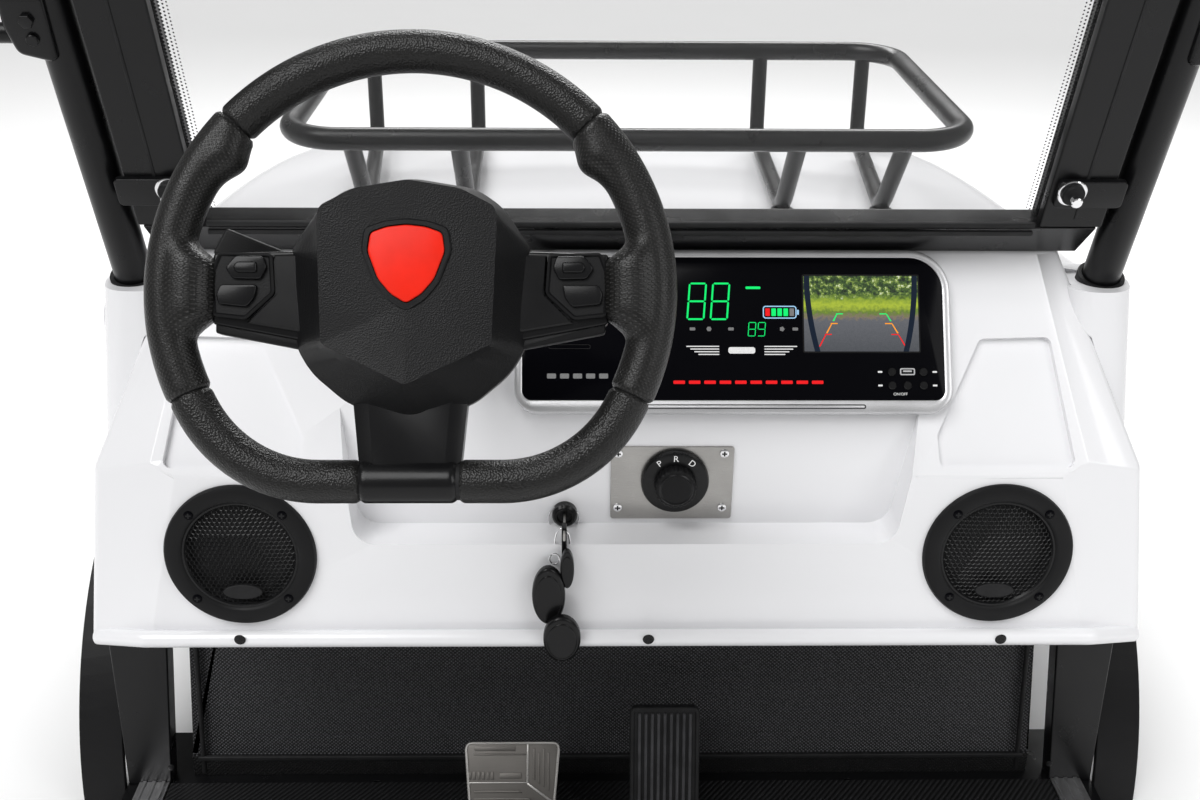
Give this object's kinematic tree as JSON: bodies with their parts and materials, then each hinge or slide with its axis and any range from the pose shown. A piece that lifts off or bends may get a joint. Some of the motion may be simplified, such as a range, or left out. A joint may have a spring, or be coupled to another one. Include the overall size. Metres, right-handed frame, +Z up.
{
  "type": "golf cart front section",
  "caption": "Front section of a golf cart: white cowl and dashboard with display and speakers, turning steering wheel, windscreen, roof struts, hood rack, footwell and pedals.",
  "frame": {"origin": "underside of the floor pan, on the centre line, below the dashboard's crease; it seats on the chassis", "axes": "+X to the cart's right (passenger side), +Y forward the way the cart drives, +Z up"},
  "size_m": [1.61, 1.401, 1.5063],
  "materials": {
    "aluminium_trim": "satin",
    "black_frame": "satin",
    "black_plastic": "matte",
    "black_rubber": "matte",
    "bright_steel": "polished",
    "brushed_plate": "brushed",
    "clear_glass": "gloss",
    "dark_mat": "matte",
    "display_black": "gloss",
    "floor_metal": "satin",
    "lamp_lens": "gloss",
    "mirror_glass": "gloss",
    "red_badge": "gloss",
    "silver_trim": "satin",
    "wheel_leather": "matte",
    "white_body": "gloss"
  },
  "bodies": {
    "front": {"accelerator_pedal": "black_rubber", "brake_pedal": "brushed_plate", "column_shaft": "black_frame", "column_shroud": "black_plastic", "dash_panel": "white_body", "display_bezel": "silver_trim", "display_screen": "display_black", "fender_flares": "black_plastic", "firewall": "dark_mat", "floor_mat": "dark_mat", "floor_pan": "floor_metal", "front_cowl": "white_body", "headlamps": "lamp_lens", "key_clip": "bright_steel", "key_fobs": "black_plastic", "key_switch": "black_plastic", "mirror_arms": "black_frame", "mirror_glasses": "mirror_glass", "mirror_heads": "black_plastic", "rack_legs": "black_frame", "rack_ring": "black_frame", "selector_knob": "black_plastic", "selector_plate": "brushed_plate", "side_posts": "black_frame", "sills": "aluminium_trim", "speaker_meshes": "black_plastic", "speaker_rings": "black_plastic", "stalk": "black_plastic", "strut_sleeves": "black_rubber", "struts": "black_frame", "windscreen_clamps": "black_frame", "windscreen_frame": "black_frame", "windscreen_glass": "clear_glass", "windscreen_knobs": "black_plastic", "windscreen_rail": "black_plastic"},
    "steering_wheel": {"wheel_rim": "wheel_leather", "wheel_hub": "black_plastic", "wheel_spokes": "black_plastic", "control_pods": "black_plastic", "wheel_badge": "red_badge"}
  },
  "joints": [
    {"name": "steering", "type": "hinge", "parent": "front", "child": "steering_wheel", "pos_m": [-0.158, -0.295, 0.856], "axis": [0, -0.8829, 0.4695], "range_deg": [-450, 450]}
  ]
}
